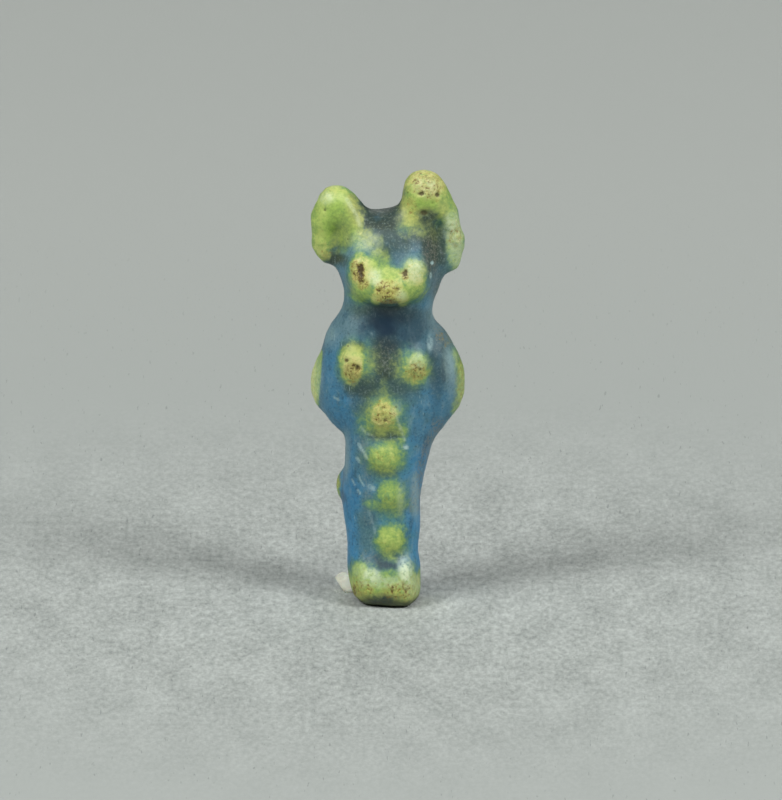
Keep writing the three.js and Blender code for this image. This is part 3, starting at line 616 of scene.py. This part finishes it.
class Graph:
    """Short ways to make and join the shader nodes of one material."""

    def __init__(self, name):
        self.material = bpy.data.materials.new(name)
        self.material.use_nodes = True
        self.tree = self.material.node_tree
        self.tree.nodes.clear()

    def feed(self, socket, value):
        if isinstance(value, bpy.types.NodeSocket):
            self.tree.links.new(value, socket)
        else:
            socket.default_value = value

    def node(self, kind, settings=None, **inputs):
        made = self.tree.nodes.new(kind)
        for key, value in (settings or {}).items():
            setattr(made, key, value)
        for key, value in inputs.items():
            self.feed(made.inputs[key.replace("_", " ")], value)
        return made

    def math(self, operation, a, b=0.0, clamp=False):
        made = self.node("ShaderNodeMath", {"operation": operation, "use_clamp": clamp})
        self.feed(made.inputs[0], a)
        self.feed(made.inputs[1], b)
        return made.outputs[0]

    def mix(self, amount, a, b):
        made = self.node("ShaderNodeMix", {"data_type": "RGBA"})
        for socket, value in zip((made.inputs[0], made.inputs[6], made.inputs[7]), (amount, a, b)):
            self.feed(socket, value)
        return made.outputs[2]

    def ramp(self, value, stops):
        made = self.node("ShaderNodeValToRGB")
        elements = made.color_ramp.elements
        while len(elements) < len(stops):
            elements.new(0.5)
        for element, (place, colour) in zip(elements, stops):
            element.position = place
            element.color = colour if isinstance(colour, tuple) else (colour,) * 3 + (1,)
        self.feed(made.inputs[0], value)
        return made.outputs[0]

    def step(self, value, low, high, top=1.0):
        """0 below low and top above high, or the other way round where low is the greater."""
        made = self.node("ShaderNodeMapRange", {"interpolation_type": "SMOOTHSTEP"}, Value=value)
        stops = sorted(((low, 0.0), (high, top)))
        for key, number in zip(("From Min", "From Max"), (stops[0][0], stops[1][0])):
            made.inputs[key].default_value = number
        for key, number in zip(("To Min", "To Max"), (stops[0][1], stops[1][1])):
            made.inputs[key].default_value = number
        return made.outputs[0]

    def span(self, value, low, high):
        """Noise spread over the range from low to high."""
        made = self.node("ShaderNodeMapRange", None, Value=value)
        for key, number in zip(("From Min", "From Max", "To Min", "To Max"), (0.3, 0.7, low, high)):
            made.inputs[key].default_value = number
        return made.outputs[0]

    def mask(self, name):
        return self.node("ShaderNodeAttribute", {"attribute_name": name}).outputs["Fac"]

    def millimetres(self, stretch=(1, 1, 1), turn=(0, 0, 0)):
        coords = self.node("ShaderNodeTexCoord").outputs["Object"]
        made = self.node("ShaderNodeMapping", None, Vector=coords)
        made.inputs["Scale"].default_value = [s / MM for s in stretch]
        made.inputs["Rotation"].default_value = turn
        return made.outputs[0]

    def noise(self, where, size, detail=3.0, roughness=0.55):
        made = self.node("ShaderNodeTexNoise", None, Vector=where, Scale=1 / size)
        made.inputs["Detail"].default_value = detail
        made.inputs["Roughness"].default_value = roughness
        return made.outputs[0]

    def dots(self, where, size, radius):
        """1 in round dots of uneven size, one at most in each cell of the given size."""
        made = self.node("ShaderNodeTexVoronoi", None, Vector=where, Scale=1 / size)
        own = self.node("ShaderNodeSeparateColor", None, Color=made.outputs["Color"]).outputs[0]
        reach = self.math("MULTIPLY", own, radius)
        inside = self.math("SUBTRACT", reach, made.outputs["Distance"])
        return self.step(inside, 0.0, 0.1)

    def bump(self, height, distance, strength=1.0):
        made = self.node("ShaderNodeBump", None, Height=height)
        made.inputs["Strength"].default_value = strength
        made.inputs["Distance"].default_value = distance * MM
        return made.outputs[0]

    def finish(self, **inputs):
        shader = self.node("ShaderNodeBsdfPrincipled", None, **inputs)
        self.node("ShaderNodeOutputMaterial", None, Surface=shader.outputs[0])
        return self.material


def linear(red, green, blue):
    """A screen colour of 0 to 255, as the shaders want it."""
    values = [value / 255 for value in (red, green, blue)]
    return tuple(v / 12.92 if v <= 0.04045 else ((v + 0.055) / 1.055) ** 2.4 for v in values) + (1,)


# The glaze from where it is thinnest, over the blue, to the thick tops of the knobs
GOLD_SHADES = [
    (0.0, linear(60, 112, 124)),
    (0.2, linear(84, 134, 120)),
    (0.4, linear(113, 154, 110)),
    (0.58, linear(142, 174, 102)),
    (0.74, linear(168, 188, 106)),
    (0.88, linear(190, 201, 118)),
    (1.0, linear(214, 212, 136)),
]
# The specks, from those in faint stains to those in the darkest
BROWN_SHADES = [
    (0.0, linear(166, 140, 54)),
    (0.5, linear(128, 100, 34)),
    (1.0, linear(76, 54, 16)),
]


def swing(g, noise_value, amount):
    """Noise of 0 to 1 turned into a swing of plus or minus half the amount."""
    return g.math("MULTIPLY", g.math("SUBTRACT", noise_value, 0.5), amount)


def blue_glaze(g, where, middling, grain):
    """The blue glaze, from broad tones down to grains, with the dirt that lies on it, painted shade
    in its hollows and painted highlights where it is paler.
    """
    streaky = g.noise(g.millimetres((1, 1, 0.4)), 0.45, 4.0)
    colour = g.mix(g.mask("azure"), linear(74, 118, 134), linear(58, 136, 180))
    colour = g.mix(g.step(g.mask("halo"), 0.05, 0.6, 0.7), colour, linear(88, 138, 116))
    # Paler grey-blue glaze, which also stands for painted highlights on the shoulders and the right
    # arm
    colour = g.mix(g.mask("slate_and_highlight"), colour, linear(114, 146, 154))
    colour = g.mix(g.mask("murk"), colour, linear(78, 110, 102))
    colour = g.mix(g.step(middling, 0.5, 0.72, 0.5), colour, linear(74, 112, 112))
    colour = g.mix(g.step(streaky, 0.54, 0.74, 0.4), colour, linear(134, 166, 176))
    colour = g.mix(g.step(streaky, 0.48, 0.3, 0.55), colour, linear(42, 84, 108))

    speckle = g.step(grain, 0.5, 0.7)
    # Soot on the blue glaze, which also stands for painted shade in hollows and under the knobs
    soot_and_shade = g.math("MULTIPLY", g.mask("soot_and_shade"), g.step(middling, 0.1, 0.45))
    dark = g.mix(g.math("MULTIPLY", speckle, 0.35), linear(50, 66, 48), linear(120, 132, 116))
    colour = g.mix(soot_and_shade, colour, dark)
    dust = g.math("MULTIPLY", g.mask("dust"), g.step(grain, 0.4, 0.6, 0.8))
    colour = g.mix(dust, colour, linear(118, 114, 104))

    colour = g.mix(g.math("MULTIPLY", speckle, 0.22), colour, linear(150, 172, 166))
    colour = g.mix(g.step(grain, 0.46, 0.3, 0.5), colour, linear(34, 60, 72))
    scratches = g.noise(g.millimetres((12, 6, 1.4), (0, 0.25, 0)), 1.0, 2.0)
    streaks = g.math("MULTIPLY", g.step(scratches, 0.62, 0.72, 0.6), g.step(middling, 0.5, 0.62))
    colour = g.mix(streaks, colour, linear(160, 188, 190))
    # Thick dark blue glaze, which also stands for painted shade under the muzzle and along the
    # underside
    return g.mix(g.mask("pooled_and_shaded"), colour, linear(14, 46, 66))


def gold_glaze(g, level):
    shade = g.ramp(level, GOLD_SHADES)
    green = g.mix(level, linear(60, 100, 70), linear(166, 204, 88))
    shade = g.mix(g.math("MULTIPLY", g.mask("leaf"), 0.85), shade, green)
    # Soot on the gold turns it olive, which also stands for painted shade under the knobs and in the
    # hollows
    olive = g.mix(level, linear(66, 82, 66), linear(180, 184, 104))
    shade = g.mix(g.math("MULTIPLY", g.mask("soot_and_shade"), 0.8), shade, olive)
    warm = g.math("MULTIPLY", g.step(g.mask("brown"), 0.05, 0.45, 0.4), g.step(level, 0.6, 0.9))
    return g.mix(warm, shade, linear(212, 202, 112))


def crumbled(g, colour, where, gold):
    """A glaze colour with brown stains, specks and dark pits, and how far it is crumbled."""
    brown = g.mask("brown")
    within = g.step(brown, 0.0, 0.14)
    mottle = g.noise(where, 0.22, 4.0, 0.7)
    tint = g.math("MULTIPLY", g.step(g.math("ADD", brown, swing(g, mottle, 1.2)), 0.1, 0.7), within)
    colour = g.mix(g.math("MULTIPLY", tint, 0.6), colour, linear(168, 150, 74))

    crumbs = g.math("ADD", swing(g, mottle, 0.5), swing(g, g.noise(where, 0.1, 2.0), 1.0))
    stain = g.math("ADD", g.math("MULTIPLY", brown, 0.5), crumbs)
    stain = g.math("MULTIPLY", g.step(stain, 0.16, 0.42), within)
    colour = g.mix(g.math("MULTIPLY", stain, 0.85), colour, g.ramp(tint, BROWN_SHADES))
    stray = g.math("MULTIPLY", g.dots(where, 0.6, 0.16), g.step(gold, 0.25, 0.5, 0.6))
    pits = g.math("ADD", g.mask("pit"), g.math("MULTIPLY", crumbs, 0.3))
    pits = g.math("MAXIMUM", g.step(pits, 0.25, 0.8, 0.86), stray)
    pits = g.math("MULTIPLY", pits, g.step(g.math("ADD", g.mask("pit"), stray), 0.0, 0.1))
    return g.mix(pits, colour, linear(68, 52, 14)), stain


def glaze_material():
    g = Graph("worn_glaze")
    where = g.millimetres()
    middling = g.noise(where, 0.8, 4.0)
    fine = g.noise(where, 0.25, 3.0)
    grain = g.noise(where, 0.12, 3.0, 0.65)

    gold = g.mask("gold")
    uneven = g.math("ADD", swing(g, middling, 0.4), swing(g, fine, 0.8))
    edge = g.math("ADD", gold, g.math("MULTIPLY", uneven, 0.35))
    level = g.math("ADD", g.math("ADD", gold, uneven), swing(g, grain, 0.9), clamp=True)
    cover = g.math("MULTIPLY", g.step(edge, 0.02, 0.5), g.step(gold, 0.0, 0.1))
    colour = g.mix(cover, blue_glaze(g, where, middling, grain), gold_glaze(g, level))

    # Pale bloom and white scratches, which also stand for painted highlights
    frost_and_highlight = g.math("MULTIPLY", g.mask("frost_and_highlight"), g.step(g.noise(where, 0.2, 4.0, 0.7), 0.24, 0.58))
    bloom_and_highlight = g.mix(cover, linear(176, 206, 206), linear(224, 238, 200))
    colour = g.mix(g.math("MULTIPLY", frost_and_highlight, 0.95), colour, bloom_and_highlight)
    colour, stain = crumbled(g, colour, where, gold)
    # Painted shade along the foot's underside, in dark olive
    colour = g.mix(g.math("MULTIPLY", g.mask("underside_shade"), 0.85), colour, linear(38, 48, 30))

    height = g.math("SUBTRACT", g.math("MULTIPLY", grain, 0.5), stain)
    return g.finish(
        Base_Color=colour,
        Roughness=g.span(middling, 0.42, 0.6),
        Coat_Weight=0.12,
        Coat_Roughness=0.4,
        Normal=g.bump(height, 0.025, 0.5),
    )


def wax_material():
    g = Graph("mounting_wax")
    where = g.millimetres()
    middling = g.noise(where, 0.6, 3.0)
    return g.finish(
        Base_Color=g.mix(g.step(middling, 0.3, 0.6), linear(214, 216, 192), linear(250, 250, 232)),
        Roughness=0.6,
        Subsurface_Weight=0.1,
        Subsurface_Scale=0.3 * MM,
        Normal=g.bump(middling, 0.05, 0.4),
    )


def floor_material():
    """A pale card with short fibres and hairs, which show near the figure and fade away from it."""
    g = Graph("grey_card")
    where = g.millimetres()
    drawn = g.millimetres((1, 0.4, 1))
    fibres = g.noise(drawn, 0.28, 6.0, 0.8)
    clouds = g.noise(drawn, 2.2, 3.0)
    away = g.node("ShaderNodeVectorMath", {"operation": "LENGTH"}, Vector=where).outputs["Value"]
    grain = g.math("ADD", swing(g, fibres, 2.6), swing(g, clouds, 0.8))
    grain = g.math("ADD", g.math("MULTIPLY", grain, g.step(away, 45, 10)), 0.5, clamp=True)
    card = g.mix(grain, linear(138, 144, 140), linear(204, 210, 205))
    for turn in HAIR_TURNS:
        hairs = g.noise(g.millimetres((5, 0.6, 1), (0, 0, turn)), 1.0, 2.0)
        card = g.mix(g.math("MULTIPLY", g.step(hairs, 0.7, 0.74), 0.45), card, linear(112, 118, 116))
    return g.finish(
        Base_Color=g.mix(g.step(away, 25, 90), card, linear(181, 186, 181)),
        Roughness=0.9,
        Normal=g.bump(fibres, 0.05, 0.5),
    )


# Surroundings


def make_floor():
    bm = bmesh.new()
    bmesh.ops.create_circle(bm, cap_ends=True, segments=96, radius=FLOOR_RADIUS * MM)
    mesh = bpy.data.meshes.new("card")
    bm.to_mesh(mesh)
    bm.free()
    card = bpy.data.objects.new("card", mesh)
    bpy.context.scene.collection.objects.link(card)
    mesh.materials.append(floor_material())


def make_light(name, azimuth, elevation, distance, size, power):
    """A soft box that looks at the figure, from an angle round it and an angle up."""
    light = bpy.data.lights.new(name, "AREA")
    light.size = size * MM
    light.energy = power
    obj = bpy.data.objects.new(name, light)
    bpy.context.scene.collection.objects.link(obj)
    a, e = math.radians(azimuth), math.radians(elevation)
    away = Vector((math.sin(a) * math.cos(e), -math.cos(a) * math.cos(e), math.sin(e)))
    obj.location = (Vector((0, 0, 10)) + away * distance) * MM
    obj.rotation_euler = away.to_track_quat("Z", "Y").to_euler()


def make_lights():
    make_light("left_softbox", -52, 42, 700, 240, 2.43)
    make_light("right_softbox", 53, 41, 700, 240, 2.53)
    make_light("left_top_light", -28, 56, 700, 420, 0.8)
    make_light("right_top_light", 32, 56, 700, 420, 0.45)
    make_light("back_softbox", 180, 38, 700, 500, 0.8)
    world = bpy.data.worlds.new("room")
    world.use_nodes = True
    nodes, links = world.node_tree.nodes, world.node_tree.links
    background = nodes["Background"]
    background.inputs["Color"].default_value = (0.96, 1.0, 0.97, 1)
    seen = nodes.new("ShaderNodeMapRange")
    links.new(nodes.new("ShaderNodeLightPath").outputs["Is Camera Ray"], seen.inputs["Value"])
    seen.inputs["To Min"].default_value = ROOM_LIGHT
    seen.inputs["To Max"].default_value = ROOM_SHADE
    links.new(seen.outputs[0], background.inputs["Strength"])
    bpy.context.scene.world = world
    bpy.context.scene.view_settings.view_transform = "Standard"


def make_camera():
    camera = bpy.data.cameras.new("camera")
    camera.sensor_width = SENSOR_WIDTH
    camera.lens = SENSOR_WIDTH * DISTANCE * PIXELS_PER_MM / FRAME_LONG_SIDE
    camera.clip_start, camera.clip_end = 10 * MM, 5000 * MM
    obj = bpy.data.objects.new("camera", camera)
    bpy.context.scene.collection.objects.link(obj)
    sideways = (FRAME_MIDDLE[0] - ORIGIN_PIXEL[0]) / PIXELS_PER_MM
    upwards = (ORIGIN_PIXEL[1] - FRAME_MIDDLE[1]) / PIXELS_PER_MM
    target = np.array([sideways, 0, 0]) + UP * upwards
    obj.location = Vector(target + BACK * DISTANCE) * MM
    obj.rotation_euler = Vector(BACK).to_track_quat("Z", "Y").to_euler()
    bpy.context.scene.camera = obj


def main():
    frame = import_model()
    figure = make_figure(frame["nodes"]["anubis_figure"])
    wax = make_wax(frame["nodes"]["mounting_wax"])
    for piece, node, slot in (
        (figure, "anubis_figure", "blue_glaze"),
        (wax, "mounting_wax", "wax"),
    ):
        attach(piece, "root")
        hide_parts(node)
    make_floor()
    make_lights()
    make_camera()


main()
